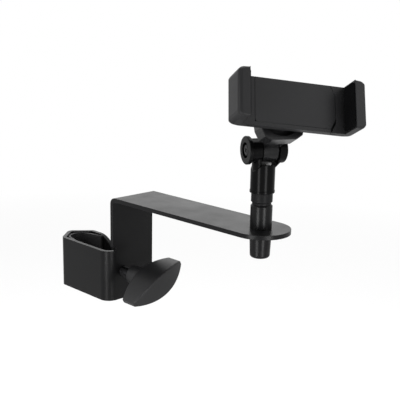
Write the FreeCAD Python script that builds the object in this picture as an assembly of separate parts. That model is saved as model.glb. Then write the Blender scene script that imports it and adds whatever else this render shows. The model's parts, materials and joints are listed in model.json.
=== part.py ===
"""Phone holder: a folded steel arm that hooks round a tube and carries a tilting, sprung phone clip.

Units are millimetres and degrees. The origin lies on the axis of the held tube, at half the
height of the hook. X runs along the arm, Y across it and Z up.
"""
import FreeCAD
import Part
import math
import os

from FreeCAD import Placement, Rotation, Vector

# Folded sheet: arm, web and hook
STRAP_WIDTH = 40.0
SHEET = 3.0
FOLD_RADIUS = 2.0
ROLL_RADIUS = 5.5
HOOK_HEIGHT = 40.0
HOOK_WIDTH = 26.2
HOOK_DEPTH = 51.6
V_ANGLE = 40.0
TONGUE_REACH = 26.0
ARM_TOP = 62.0
ARM_SIDE = 9.5
ARM_REACH = 184.0
WEB_CORNER = 8.0
RELIEF = 3.0

# Liner in the hook
TUBE_RADIUS = 8.5
LINER = 1.7
LINER_FIT = 0.05
LINER_ARC = 75.0
LINER_BEND = 6.0
LINER_HEIGHT = 38.0
LINER_FRONT_RUN = 21.6
LINER_BACK_RUN = 2.6

# Clamp screw with foot, nut and wing knob
SCREW_RISE = 2.1
SCREW_RADIUS = 4.0
THREAD_FIT = 0.06
WELD_NUT_FLATS = 13.0
WELD_NUT_HEIGHT = 6.5
FOOT_GAP = 0.2
FOOT_RADIUS = 7.0
FOOT_LENGTH = 7.0
FOOT_EDGE = 1.2
TIP_RADIUS = 3.0
TIP_LENGTH = 4.5
RUNNING_FIT = 0.06
SHOULDER_GAP = 0.1
KNOB_STANDOFF = 11.4
HUB_LENGTH = 12.0
HUB_RADIUS = 7.2
HUB_ROOT_RADIUS = 8.2
KNOB_DEPTH = 22.5
WING_TIP_DEPTH = 13.0
WING_HALF_LENGTH = 26.0
WING_HALF_WIDTH = 8.6
WING_CROWN = 6.0
WING_BLUNT = 2.5
WING_EDGE = 1.2
KNOB_TURN = 26.0
SCREW_IN_KNOB = 24.0
PRESS_GAP = 0.02

# Spigot and cap nut on the arm
STUD_RADIUS = 4.75
HOLE_FIT = 0.15
SPIGOT_RADIUS = 7.25
SPIGOT_HEIGHT = 16.0
SPIGOT_CHAMFER = 0.8
STUD_UP = 20.0
CAP_TOP_RADIUS = 7.35
CAP_LOW_RADIUS = 6.6
CAP_HEIGHT = 17.0
CAP_EDGE = 2.0
CAP_BORE_DEPTH = 13.0

# Thread insert and fork stem
SEAT_GAP = 0.1
GROOVE_RADIUS = 6.3
GROOVE_HEIGHT = 1.3
COLLAR_RADIUS = 7.1
COLLAR_HEIGHT = 6.6
COLLAR_CHAMFER = 0.7
BUSH_RADIUS = 6.0
BUSH_HEIGHT = 14.0
FORK_RADIUS = 8.0
FORK_RIM = 0.25
FORK_RIM_HEIGHT = 1.6
STEM_HEIGHT = 19.0
AXIS_OVER_FLOOR = 9.0
FORK_GAP = 11.7
FORK_SHIFT = 2.35
SHOULDER_ANGLE = 48.0
CHEEK_HALF = 5.5
CHEEK_STEP = 0.6
NEAR_EAR = 9.3
NEAR_FLANGE = 2.6
NEAR_FLANGE_RADIUS = 9.2
NEAR_FLANGE_EDGE = 0.4
FAR_EAR = 5.4
FAR_EAR_RADIUS = 9.0
FAR_EAR_EDGE = 1.2
GUSSET_WIDTH = 3.0
GUSSET_DROP = 3.0
LIP_UNDER_AXIS = 5.2
HINGE_AZIMUTH = 64.0

# Hinge pin set
HINGE_SCREW_RADIUS = 2.0
HINGE_HEAD_RADIUS = 4.0
HINGE_HEAD_HEIGHT = 2.4
HINGE_SINK_RADIUS = 5.1
HINGE_SINK_DEPTH = 2.8
HINGE_NUT_FLATS = 7.0
HINGE_NUT_HEIGHT = 3.0
NUT_FIT = 0.05
WASHER = 0.7
WASHER_RADIUS = 5.6
FACE_GAP = 0.05

# Tilt head
TILT = 24.4
KNUCKLE_RADIUS = 7.6
NECK_INSET = 0.3
NECK_LOW = -1.2
NECK_HIGH = 8.0
FLANGE_BACK = 22.0
FLANGE_DEPTH = 11.0
FLANGE_CENTRE = 12.5
FLANGE_HALF_HEIGHT = 15.0
FLANGE_HALF_WIDTH = 14.4
FLANGE_FOOT_HALF = 8.2
FLANGE_SHOULDER = 12.4
FLANGE_SHOULDER_DROP = 12.6
FLANGE_SIDE_DROP = 6.8
FLANGE_TAPER = 7.0
FLANGE_TAPER_SCALE = 0.62
FLANGE_EDGE = 0.6
DISH_RIM = 1.6
DISH_DEPTH = 3.0

# Swivel between tilt head and clip
DISC_RADIUS = 9.6
DISC_LIFT = 0.1
SWIVEL_SCREW_RADIUS = 2.0
SWIVEL_HEAD_RADIUS = 3.8
SWIVEL_HEAD_HEIGHT = 2.4
SWIVEL_POCKET_FIT = 0.5
SWIVEL_WALL = 5.0
SWIVEL_WASHER = 0.8
SWIVEL_GRIP = 1.4

# Phone clip
OPENING = 67.2
CLIP_HEIGHT = 30.0
CLIP_THICKNESS = 8.6
JAW_DEPTH = 14.7
JAW_THICKNESS = 7.2
CLIP_RIGHT = 4.4
CLIP_UP = 4.4
CLIP_ROLL = -7.5
JAW_EDGE = 2.6
BACK_ROUND = 6.8
BACK_EDGE = 4.5
SHELL_FLOOR = 1.5
RAIL = 5.2
SLIDE_GAP = 0.3
PANEL = 2.0
PANEL_LEFT = 8.4
PANEL_RIM = 2.4
PANEL_SEAM = 0.15
PANEL_CORNER = 1.5
TONGUE_WIDTH = 3.3
TONGUE_CUT = 6.0
SLIDER_FOOT = 6.3
SLIDE_PLATE = 2.7
SLIDE_ENGAGED = 46.0
SLIDE_TRAVEL = 25.0
GUIDE_RADIUS = 2.3
GUIDE_FROM_END = 6.0
PAD = 1.2
PAD_SINK = 0.6
PAD_FIT = 0.05
PAD_MARGIN = 1.0
PAD_CORNER = 2.0
SPRING_RADIUS = 1.5
SPRING_WALL = 0.5
SPRING_OFFSET = 6.0
SPRING_SLOT_FIT = 0.4
SPRING_LENGTH = 34.0
SPRING_HOOK = 2.0
SPRING_POST = 0.9
PANEL_SCREW_RADIUS = 1.1
PANEL_SCREW_HEAD = 1.7
PANEL_SCREW_HEIGHT = 1.2
PANEL_SCREW_SINK = 0.8
PANEL_SCREW_BITE = 1.0
PANEL_SCREW_INSET = 3.8

# Places worked out from the sizes above
LINER_RADIUS = TUBE_RADIUS + LINER
WEB_FACE = HOOK_DEPTH + SHEET
FAR_EDGE = ARM_SIDE + STRAP_WIDTH / 2
FOOT_FACE = TUBE_RADIUS + FOOT_GAP
FOOT_BACK = FOOT_FACE + FOOT_LENGTH
HUB_FACE = WEB_FACE + KNOB_STANDOFF
KNOB_BACK = HUB_FACE + HUB_LENGTH
KNOB_FACE = KNOB_BACK + KNOB_DEPTH
SPIGOT_TOP = ARM_TOP + SPIGOT_HEIGHT
INSERT_LOW = SPIGOT_TOP + SEAT_GAP
COLLAR_LOW = INSERT_LOW + GROOVE_HEIGHT
FORK_LOW = COLLAR_LOW + COLLAR_HEIGHT
FORK_FLOOR = FORK_LOW + STEM_HEIGHT
HINGE_Z = FORK_FLOOR + AXIS_OVER_FLOOR
SLOT_NEAR = FORK_SHIFT - FORK_GAP / 2
SLOT_FAR = FORK_SHIFT + FORK_GAP / 2
NEAR_FACE = SLOT_NEAR - NEAR_EAR
FAR_FACE = SLOT_FAR + FAR_EAR
KNUCKLE_NEAR = SLOT_NEAR + WASHER + 2 * FACE_GAP
KNUCKLE_FAR = SLOT_FAR - WASHER - 2 * FACE_GAP
FLANGE_FACE = FLANGE_BACK + FLANGE_DEPTH
DISH_RADIUS = min(FLANGE_HALF_WIDTH, FLANGE_HALF_HEIGHT) - DISH_RIM
DISH_FLOOR = FLANGE_FACE - DISH_DEPTH
CLIP_BACK = FLANGE_FACE + DISC_LIFT
LEFT_FACE = -OPENING / 2
RIGHT_FACE = OPENING / 2
HALF_HEIGHT = CLIP_HEIGHT / 2
BACK = -CLIP_THICKNESS
SHELL_END = RIGHT_FACE - SLIDER_FOOT
SLIDE_TOP = -PANEL - SLIDE_GAP
SLIDE_LOW = SLIDE_TOP - SLIDE_PLATE
CHANNEL_HALF = HALF_HEIGHT - RAIL
CHANNEL_FLOOR = BACK + SHELL_FLOOR
CHANNEL_LEFT = SHELL_END - SLIDE_ENGAGED - SLIDE_GAP
SPRING_RIGHT = SHELL_END - GUIDE_FROM_END
SPRING_LEFT = SPRING_RIGHT - SPRING_LENGTH
PANEL_SCREW_TOP = BACK + PANEL_SCREW_SINK
PANEL_SCREW_SEAT = PANEL_SCREW_TOP + PANEL_SCREW_HEIGHT

ORIGIN = Vector(0, 0, 0)
X_AXIS = Vector(1, 0, 0)
Y_AXIS = Vector(0, 1, 0)
Z_AXIS = Vector(0, 0, 1)

# Frames of the sub-assemblies
SCREW_FRAME = Placement(Vector(0, 0, SCREW_RISE), Rotation(Y_AXIS, 90))
STEM_FRAME = Placement(Vector(ARM_REACH, ARM_SIDE, 0), Rotation(Z_AXIS, HINGE_AZIMUTH))
HINGE_FRAME = STEM_FRAME.multiply(Placement(Vector(0, 0, HINGE_Z), Rotation(Y_AXIS, 90)))
HEAD_FRAME = STEM_FRAME.multiply(Placement(Vector(0, 0, HINGE_Z), Rotation(X_AXIS, 90 - TILT)))
SWIVEL_FRAME = HEAD_FRAME.multiply(Placement(Vector(0, FLANGE_CENTRE, 0), Rotation(Z_AXIS, CLIP_ROLL)))
CLIP_FRAME = SWIVEL_FRAME.multiply(
    Placement(Vector(CLIP_RIGHT, CLIP_UP, CLIP_BACK + CLIP_THICKNESS), Rotation())
)


def box(x_range, y_range, z_range):
    """Block between the given limits."""
    size = [limits[1] - limits[0] for limits in (x_range, y_range, z_range)]
    return Part.makeBox(*size, Vector(x_range[0], y_range[0], z_range[0]))


def rod(radius, low, high, x=0.0, y=0.0):
    """Cylinder along Z."""
    return Part.makeCylinder(radius, high - low, Vector(x, y, low))


def ring(outer, inner, low, high):
    """Tube along Z."""
    return rod(outer, low, high).cut(rod(inner, low, high))


def plate(points, low, high):
    """Prism with a straight-edged outline in XY."""
    corners = [Vector(x, y, low) for x, y in points]
    return Part.Face(Part.makePolygon(corners + corners[:1])).extrude(Z_AXIS * (high - low))


def hexagon(flats, low, high):
    """Hexagonal prism along Z."""
    reach = flats / math.sqrt(3)
    turns = [math.radians(60 * i) for i in range(6)]
    return plate([(reach * math.cos(turn), reach * math.sin(turn)) for turn in turns], low, high)


def turned(profile):
    """Solid of revolution about Z from (radius, height) points."""
    corners = [Vector(radius, 0, height) for radius, height in profile]
    return Part.Face(Part.makePolygon(corners + corners[:1])).revolve(ORIGIN, Z_AXIS, 360)


def edges_along(shape, direction):
    """Straight edges of a shape that are parallel to a direction."""
    found = []
    for edge in shape.Edges:
        if isinstance(edge.Curve, Part.Line) and abs(edge.Curve.Direction.dot(direction)) > 0.999:
            found.append(edge)
    return found


def edges_where(shape, test):
    """Edges whose vertices and middle all satisfy a test on a point."""
    found = []
    for edge in shape.Edges:
        middle = edge.valueAt((edge.FirstParameter + edge.LastParameter) / 2)
        if all(test(point) for point in [middle] + [vertex.Point for vertex in edge.Vertexes]):
            found.append(edge)
    return found


def near(value, target):
    """True where two lengths agree."""
    return abs(value - target) < 1e-4


def placed(shape, frame):
    """Copy of a shape carried into a frame."""
    moved = shape.copy()
    moved.Placement = frame.multiply(moved.Placement)
    return moved


def ribbon(points, radii, thickness):
    """Face of a bent strip of even thickness: straight runs in XY joined by tangent arcs."""
    path = [Vector(x, y, 0) for x, y in points]
    runs = [(end - start).normalize() for start, end in zip(path, path[1:])]
    sides = []
    for offset in (thickness / 2, -thickness / 2):
        edges = []
        start = path[0] + Z_AXIS.cross(runs[0]) * offset
        for corner, before, after, radius in zip(path[1:], runs, runs[1:], radii):
            turn = math.copysign(1, before.cross(after).z)
            reach = radius * math.tan(before.getAngle(after) / 2)
            first = corner - before * reach
            centre = first + Z_AXIS.cross(before) * (turn * radius)
            entry = first + Z_AXIS.cross(before) * offset
            leave = corner + after * reach + Z_AXIS.cross(after) * offset
            middle = centre + (corner - centre).normalize() * (radius - turn * offset)
            edges.append(Part.LineSegment(start, entry).toShape())
            edges.append(Part.Arc(entry, middle, leave).toShape())
            start = leave
        end = path[-1] + Z_AXIS.cross(runs[-1]) * offset
        edges.append(Part.LineSegment(start, end).toShape())
        sides.append((edges, edges[0].Vertexes[0].Point, end))
    (left, left_start, left_end), (right, right_start, right_end) = sides
    ends = ((left_end, right_end), (right_start, left_start))
    caps = [Part.LineSegment(start, end).toShape() for start, end in ends]
    return Part.Face(Part.Wire(Part.__sortEdges__(left + right + caps)))


def bracket():
    """Arm, web and hook, folded from one sheet."""
    half = SHEET / 2
    wall = HOOK_WIDTH / 2 + half
    web = HOOK_DEPTH + half
    leg = LINER_RADIUS + LINER_FIT + half
    slope = math.radians(V_ANGLE)
    corner = (wall * math.sin(slope) - leg) / math.cos(slope)
    path = [(web, FAR_EDGE), (web, -wall), (corner, -wall), (-leg / math.cos(slope), 0)]
    path += [(corner, wall), (TONGUE_REACH, wall)]
    band = ribbon(path, [ROLL_RADIUS + half] + [FOLD_RADIUS + half] * 3, SHEET)
    hook = band.extrude(Z_AXIS * HOOK_HEIGHT)
    hook.translate(Vector(0, 0, -HOOK_HEIGHT / 2))

    fold_path = [(web, HOOK_HEIGHT / 2), (web, ARM_TOP - half), (ARM_REACH, ARM_TOP - half)]
    fold = ribbon(fold_path, [FOLD_RADIUS + half], SHEET).extrude(Z_AXIS * STRAP_WIDTH)
    fold = placed(fold, Placement(Vector(0, FAR_EDGE, 0), Rotation(X_AXIS, 90)))
    end = rod(STRAP_WIDTH / 2, ARM_TOP - SHEET, ARM_TOP, ARM_REACH, ARM_SIDE)
    sheet = hook.fuse([fold, end]).removeSplitter()

    through_web = (HOOK_DEPTH - SHEET, WEB_FACE + SHEET)
    low = -HOOK_HEIGHT / 2
    round_end = TONGUE_REACH - HOOK_HEIGHT / 2
    tongue = (round_end, TONGUE_REACH + SHEET)
    tongue_trim = box(tongue, (HOOK_WIDTH / 2 - half, wall + SHEET), (low, -low))
    tongue_trim = tongue_trim.cut(
        Part.makeCylinder(HOOK_HEIGHT / 2, HOOK_WIDTH, Vector(round_end, 0, 0), Y_AXIS)
    )
    corner_y = FAR_EDGE - WEB_CORNER
    corner_z = low + WEB_CORNER
    corner_trim = box(through_web, (corner_y, FAR_EDGE), (low, corner_z))
    corner_trim = corner_trim.cut(
        Part.makeCylinder(WEB_CORNER, 3 * SHEET, Vector(through_web[0], corner_y, corner_z), X_AXIS)
    )
    relief_width = (FAR_EDGE - STRAP_WIDTH, ROLL_RADIUS - HOOK_WIDTH / 2)
    relief = box(through_web, relief_width, (-low, RELIEF - low))
    screw_hole = placed(rod(SCREW_RADIUS + THREAD_FIT, *through_web), SCREW_FRAME)
    stud_hole = rod(STUD_RADIUS + HOLE_FIT, ARM_TOP - 2 * SHEET, ARM_TOP + SHEET, ARM_REACH, ARM_SIDE)
    return sheet.cut([tongue_trim, corner_trim, relief, screw_hole, stud_hole])


def clamp_liner():
    """Strip that lines the hook: a round cradle that opens out onto both walls."""
    middle = TUBE_RADIUS + LINER / 2
    wall = HOOK_WIDTH / 2 - LINER_FIT - LINER / 2
    arc = math.radians(LINER_ARC)
    tip = -middle / math.cos(arc)
    bend = tip + wall * math.tan(arc)
    path = [(bend + LINER_FRONT_RUN, -wall), (bend, -wall), (tip, 0), (bend, wall)]
    path += [(bend + LINER_BACK_RUN, wall)]
    strip = ribbon(path, [LINER_BEND, middle, LINER_BEND], LINER).extrude(Z_AXIS * LINER_HEIGHT)
    strip.translate(Vector(0, 0, -LINER_HEIGHT / 2))
    return strip


def weld_nut():
    """Nut welded to the inner face of the web."""
    body = hexagon(WELD_NUT_FLATS, HOOK_DEPTH - WELD_NUT_HEIGHT, HOOK_DEPTH)
    return placed(body.cut(rod(SCREW_RADIUS + THREAD_FIT, 0, WEB_FACE)), SCREW_FRAME)


def pressure_foot():
    """Foot that presses on the tube and turns on the screw's tip."""
    body = rod(FOOT_RADIUS, FOOT_FACE, FOOT_BACK)
    body = body.makeFillet(FOOT_EDGE, edges_where(body, lambda p: near(p.z, FOOT_FACE)))
    bore = rod(TIP_RADIUS + RUNNING_FIT, FOOT_BACK - TIP_LENGTH - SHOULDER_GAP, FOOT_BACK)
    return placed(body.cut(bore), SCREW_FRAME)


def clamp_screw():
    """Screw with a turned tip, its other end moulded into the knob."""
    shoulder = FOOT_BACK + SHOULDER_GAP
    tip = rod(TIP_RADIUS, FOOT_BACK - TIP_LENGTH, shoulder)
    shank = rod(SCREW_RADIUS, shoulder, HUB_FACE + SCREW_IN_KNOB)
    return placed(tip.fuse(shank).removeSplitter(), SCREW_FRAME)


def wing_knob():
    """Boat-shaped wing with a crowned face, and a tapered hub behind it."""
    point = WING_HALF_LENGTH + WING_BLUNT
    low, high = (Vector(0, side * point, KNOB_BACK) for side in (-1, 1))
    sides = [
        Part.Arc(low, Vector(side * WING_HALF_WIDTH, 0, KNOB_BACK), high).toShape() for side in (1, -1)
    ]
    lens = Part.Face(Part.Wire(Part.__sortEdges__(sides))).extrude(Z_AXIS * KNOB_DEPTH)

    crown_z = KNOB_FACE - WING_CROWN
    back_z = crown_z - WING_TIP_DEPTH
    rim = [
        Vector(0, WING_HALF_LENGTH, crown_z),
        Vector(0, WING_HALF_LENGTH, back_z),
        Vector(0, HUB_ROOT_RADIUS, KNOB_BACK),
        Vector(0, -HUB_ROOT_RADIUS, KNOB_BACK),
        Vector(0, -WING_HALF_LENGTH, back_z),
        Vector(0, -WING_HALF_LENGTH, crown_z),
    ]
    crown = Part.Arc(rim[-1], Vector(0, 0, KNOB_FACE), rim[0]).toShape()
    profile = Part.Face(Part.Wire(Part.__sortEdges__([crown] + Part.makePolygon(rim).Edges)))
    depth = profile.extrude(X_AXIS * (4 * WING_HALF_WIDTH))
    depth.translate(X_AXIS * (-2 * WING_HALF_WIDTH))
    wing = lens.common(depth)
    inner = HUB_ROOT_RADIUS + WING_EDGE
    wing = wing.makeFillet(WING_EDGE, [edge for edge in wing.Edges if abs(edge.CenterOfMass.y) > inner])

    hub = Part.makeCone(HUB_RADIUS, HUB_ROOT_RADIUS, HUB_LENGTH + WING_EDGE, Vector(0, 0, HUB_FACE))
    socket = rod(SCREW_RADIUS + PRESS_GAP, HUB_FACE, HUB_FACE + SCREW_IN_KNOB)
    knob = wing.fuse(hub).cut(socket)
    return placed(placed(knob, Placement(ORIGIN, Rotation(Z_AXIS, KNOB_TURN))), SCREW_FRAME)


def spigot():
    """Post on the arm, with a stud below for the cap nut and one above for the stem."""
    stud_low = ARM_TOP - SHEET - CAP_BORE_DEPTH
    post = [
        (0, stud_low),
        (STUD_RADIUS, stud_low),
        (STUD_RADIUS, ARM_TOP),
        (SPIGOT_RADIUS, ARM_TOP),
        (SPIGOT_RADIUS, SPIGOT_TOP - SPIGOT_CHAMFER),
        (SPIGOT_RADIUS - SPIGOT_CHAMFER, SPIGOT_TOP),
        (STUD_RADIUS, SPIGOT_TOP),
        (STUD_RADIUS, SPIGOT_TOP + STUD_UP),
        (0, SPIGOT_TOP + STUD_UP),
    ]
    return placed(turned(post), STEM_FRAME)


def cap_nut():
    """Tapered blind nut under the arm."""
    top = ARM_TOP - SHEET
    body = Part.makeCone(CAP_LOW_RADIUS, CAP_TOP_RADIUS, CAP_HEIGHT, Vector(0, 0, top - CAP_HEIGHT))
    body = body.makeFillet(CAP_EDGE, edges_where(body, lambda p: near(p.z, top - CAP_HEIGHT)))
    return placed(body.cut(rod(STUD_RADIUS + PRESS_GAP, top - CAP_BORE_DEPTH, top)), STEM_FRAME)


def thread_insert():
    """Collar and bush that turn on the upper stud."""
    bush_top = FORK_LOW + BUSH_HEIGHT
    body = turned([
        (0, INSERT_LOW),
        (GROOVE_RADIUS, INSERT_LOW),
        (GROOVE_RADIUS, COLLAR_LOW),
        (COLLAR_RADIUS - COLLAR_CHAMFER, COLLAR_LOW),
        (COLLAR_RADIUS, COLLAR_LOW + COLLAR_CHAMFER),
        (COLLAR_RADIUS, FORK_LOW),
        (BUSH_RADIUS, FORK_LOW),
        (BUSH_RADIUS, bush_top),
        (0, bush_top),
    ])
    bore = rod(STUD_RADIUS + RUNNING_FIT, INSERT_LOW, SPIGOT_TOP + STUD_UP + SEAT_GAP)
    return placed(body.cut(bore), STEM_FRAME)


def fork_stem():
    """Round stem that carries a hinge barrel: a flanged near ear and a rounded far ear."""
    rim = FORK_RADIUS + FORK_RIM
    stem = turned([
        (0, FORK_LOW),
        (rim - FORK_RIM, FORK_LOW),
        (rim, FORK_LOW + FORK_RIM),
        (rim, FORK_LOW + FORK_RIM_HEIGHT),
        (FORK_RADIUS, FORK_LOW + FORK_RIM_HEIGHT),
        (FORK_RADIUS, FORK_FLOOR),
        (0, FORK_FLOOR),
    ])
    upright = Placement(ORIGIN, Rotation(X_AXIS, 90))
    drop = (rim + SLOT_NEAR) * math.tan(math.radians(SHOULDER_ANGLE))
    slope = [(SLOT_NEAR, FORK_FLOOR), (-rim, FORK_FLOOR), (-rim, FORK_FLOOR - drop)]
    stem = stem.cut(placed(plate(slope, -rim, rim), upright))

    waist = FORK_RADIUS - CHEEK_STEP
    cheek = rod(waist, FORK_FLOOR - drop, HINGE_Z)
    cheek = cheek.common(box((-rim, SLOT_NEAR), (-CHEEK_HALF, CHEEK_HALF), (FORK_LOW, HINGE_Z)))
    gusset_low = FORK_FLOOR - GUSSET_DROP
    flare_radius = SLOT_FAR + GUSSET_WIDTH
    gusset = turned([
        (0, gusset_low),
        (waist, gusset_low),
        (flare_radius, HINGE_Z - KNUCKLE_RADIUS),
        (flare_radius, HINGE_Z),
        (0, HINGE_Z),
    ])
    gusset = gusset.common(box((0, flare_radius), (-CHEEK_HALF, CHEEK_HALF), (gusset_low, HINGE_Z)))
    gusset = gusset.cut(box((0, SLOT_FAR), (-CHEEK_HALF, CHEEK_HALF), (FORK_FLOOR, HINGE_Z)))

    pivot = Placement(Vector(0, 0, HINGE_Z), Rotation(Y_AXIS, 90))
    lip = rod(FORK_RADIUS, FORK_FLOOR, HINGE_Z - LIP_UNDER_AXIS)
    lip = lip.common(box((SLOT_NEAR, SLOT_FAR), (0, FORK_RADIUS), (FORK_FLOOR, HINGE_Z)))
    lip = lip.cut(placed(rod(AXIS_OVER_FLOOR, SLOT_NEAR, SLOT_FAR), pivot))

    near_ear = rod(KNUCKLE_RADIUS, NEAR_FACE, SLOT_NEAR)
    ends = (NEAR_FACE, NEAR_FACE + NEAR_FLANGE)
    flange = rod(NEAR_FLANGE_RADIUS, *ends)
    rims = edges_where(flange, lambda p: near(p.z, ends[0]) or near(p.z, ends[1]))
    flange = flange.makeChamfer(NEAR_FLANGE_EDGE, rims)
    far_ear = rod(FAR_EAR_RADIUS, SLOT_FAR, FAR_FACE)
    far_ear = far_ear.makeFillet(FAR_EAR_EDGE, edges_where(far_ear, lambda p: near(p.z, FAR_FACE)))
    ears = [placed(ear, pivot) for ear in (near_ear, flange, far_ear)]
    socket = rod(BUSH_RADIUS + PRESS_GAP, FORK_LOW, FORK_LOW + BUSH_HEIGHT)
    body = stem.fuse([cheek, gusset, lip] + ears).removeSplitter().cut(socket)

    cross_bore = rod(HINGE_SCREW_RADIUS + PRESS_GAP, NEAR_FACE, FAR_FACE)
    head_sink = rod(HINGE_SINK_RADIUS, NEAR_FACE, NEAR_FACE + HINGE_SINK_DEPTH)
    nut_sink = hexagon(HINGE_NUT_FLATS + 2 * NUT_FIT, FAR_FACE - HINGE_NUT_HEIGHT, FAR_FACE)
    tools = [placed(tool, pivot) for tool in (cross_bore, head_sink, nut_sink)]
    return placed(body.cut(tools), STEM_FRAME)


def pan_head(radius, height, seat):
    """Rounded screw head that sits below its seat."""
    head = rod(radius, seat - height, seat)
    return head.makeFillet(height / 2, edges_where(head, lambda p: near(p.z, seat - height)))


def hinge_screw():
    """Pan-head screw through both ears."""
    seat = NEAR_FACE + HINGE_SINK_DEPTH
    shank = rod(HINGE_SCREW_RADIUS, seat, FAR_FACE)
    head = pan_head(HINGE_HEAD_RADIUS, HINGE_HEAD_HEIGHT, seat)
    return placed(head.fuse(shank).removeSplitter(), HINGE_FRAME)


def hinge_nut():
    """Hexagon nut in the far ear."""
    body = hexagon(HINGE_NUT_FLATS, FAR_FACE - HINGE_NUT_HEIGHT, FAR_FACE)
    return placed(body.cut(rod(HINGE_SCREW_RADIUS + PRESS_GAP, 0, FAR_FACE)), HINGE_FRAME)


def hinge_washers():
    """Friction washers on both sides of the knuckle."""
    washer = ring(WASHER_RADIUS, HINGE_SCREW_RADIUS + PRESS_GAP, 0, WASHER)
    places = (SLOT_NEAR + FACE_GAP, SLOT_FAR - FACE_GAP - WASHER)
    pair = [placed(washer, Placement(Vector(0, 0, place), Rotation())) for place in places]
    return placed(Part.makeCompound(pair), HINGE_FRAME)


def flange_outline(scale=1.0):
    """Faceted outline of the flange about its centre, counter-clockwise."""
    quarter = [
        (FLANGE_FOOT_HALF, FLANGE_HALF_HEIGHT),
        (FLANGE_SHOULDER, FLANGE_SHOULDER_DROP),
        (FLANGE_HALF_WIDTH, FLANGE_SIDE_DROP),
    ]
    right = [(x, -y) for x, y in quarter] + [(x, y) for x, y in reversed(quarter)]
    left = [(-x, -y) for x, y in right]
    return [(scale * x, FLANGE_CENTRE + scale * y) for x, y in right + left]


def tilt_head():
    """Knuckle, neck and flange with a round dish for the swivel disc."""
    knuckle = rod(KNUCKLE_RADIUS, KNUCKLE_NEAR, KNUCKLE_FAR)
    knuckle = placed(knuckle, Placement(ORIGIN, Rotation(Y_AXIS, 90)))
    neck_width = (KNUCKLE_NEAR + NECK_INSET, KNUCKLE_FAR - NECK_INSET)
    neck = box(neck_width, (NECK_LOW, NECK_HIGH), (0, FLANGE_BACK))
    upper = [(0, KNUCKLE_RADIUS), (FLANGE_BACK - FLANGE_TAPER, NECK_HIGH), (0, NECK_HIGH)]
    trim = plate(upper, -KNUCKLE_FAR, -KNUCKLE_NEAR)
    trim = placed(trim, Placement(ORIGIN, Rotation(Y_AXIS, -90)))
    neck = neck.cut(trim)
    flange = plate(flange_outline(), FLANGE_BACK, FLANGE_FACE)
    wires = []
    for scale, height in ((FLANGE_TAPER_SCALE, FLANGE_BACK - FLANGE_TAPER), (1.0, FLANGE_BACK)):
        corners = [Vector(x, y, height) for x, y in flange_outline(scale)]
        wires.append(Part.makePolygon(corners + corners[:1]))
    taper = Part.makeLoft(wires, True, True)
    flange = flange.makeFillet(FLANGE_EDGE, edges_where(flange, lambda p: near(p.z, FLANGE_FACE)))
    body = flange.fuse([taper, neck, knuckle]).removeSplitter()

    pivot = rod(HINGE_SCREW_RADIUS + RUNNING_FIT, KNUCKLE_NEAR, KNUCKLE_FAR)
    pivot = placed(pivot, Placement(ORIGIN, Rotation(Y_AXIS, 90)))
    wall_low = DISH_FLOOR - SWIVEL_WALL
    dish = rod(DISH_RADIUS, DISH_FLOOR, FLANGE_FACE, 0, FLANGE_CENTRE)
    shank = rod(SWIVEL_SCREW_RADIUS + RUNNING_FIT, wall_low, DISH_FLOOR, 0, FLANGE_CENTRE)
    pocket = rod(SWIVEL_HEAD_RADIUS + SWIVEL_POCKET_FIT, 0, wall_low, 0, FLANGE_CENTRE)
    return placed(body.cut([pivot, dish, shank, pocket]), HEAD_FRAME)


def swivel_disc():
    """Disc on the back of the clip that turns in the flange's dish."""
    low = DISH_FLOOR + DISC_LIFT
    disc = ring(DISC_RADIUS, SWIVEL_SCREW_RADIUS + PRESS_GAP, low, CLIP_BACK)
    return placed(disc, SWIVEL_FRAME)


def swivel_washer():
    """Spring washer under the swivel screw's head."""
    high = DISH_FLOOR - SWIVEL_WALL - FACE_GAP
    washer = ring(SWIVEL_HEAD_RADIUS, SWIVEL_SCREW_RADIUS + PRESS_GAP, high - SWIVEL_WASHER, high)
    return placed(washer, SWIVEL_FRAME)


def swivel_screw():
    """Screw from the back of the tilt head into the clip."""
    seat = DISH_FLOOR - SWIVEL_WALL - FACE_GAP - SWIVEL_WASHER
    head = pan_head(SWIVEL_HEAD_RADIUS, SWIVEL_HEAD_HEIGHT, seat)
    shank = rod(SWIVEL_SCREW_RADIUS, seat, CLIP_BACK + SWIVEL_GRIP)
    return placed(head.fuse(shank).removeSplitter(), SWIVEL_FRAME)


def rounded_bar(low, high, front):
    """Bar across the clip's height with its two back edges rounded."""
    bar = box((low, high), (-HALF_HEIGHT, HALF_HEIGHT), (BACK, front))
    back = edges_where(bar, lambda p: near(p.z, BACK) and near(abs(p.y), HALF_HEIGHT))
    return bar.makeFillet(BACK_EDGE, back)


def jaw(outer, inner):
    """Upright jaw: what its front, top and side outlines have in common."""
    low, high = sorted((outer, inner))
    block = box((low, high), (-HALF_HEIGHT, HALF_HEIGHT), (BACK, JAW_DEPTH))
    sides = edges_where(block, lambda p: near(p.x, outer) and near(abs(p.y), HALF_HEIGHT))
    front_view = block.makeFillet(JAW_EDGE, sides)
    back = edges_where(block, lambda p: near(p.x, outer) and near(p.z, BACK))
    top_view = block.makeFillet(BACK_ROUND, back)
    rim = edges_where(top_view, lambda p: near(p.x, outer) and near(p.z, JAW_DEPTH))
    top_view = top_view.makeFillet(JAW_EDGE, rim)
    return front_view.common(top_view).common(rounded_bar(low, high, JAW_DEPTH))


def pad_block(face, inward, thickness, margin):
    """Rounded pad on a jaw's gripping face, growing by the margin on every side."""
    low, high = sorted((face, face + inward * thickness))
    half = HALF_HEIGHT - PAD_MARGIN + margin
    block = box((low, high), (-half, half), (PAD_MARGIN - margin, JAW_DEPTH - PAD_MARGIN + margin))
    return block.makeFillet(PAD_CORNER, edges_along(block, X_AXIS))


def pad(face, inward):
    """Rubber pad seated in a jaw's shallow pocket."""
    return placed(pad_block(face - inward * (PAD_SINK - PAD_FIT), inward, PAD, 0), CLIP_FRAME)


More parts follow.
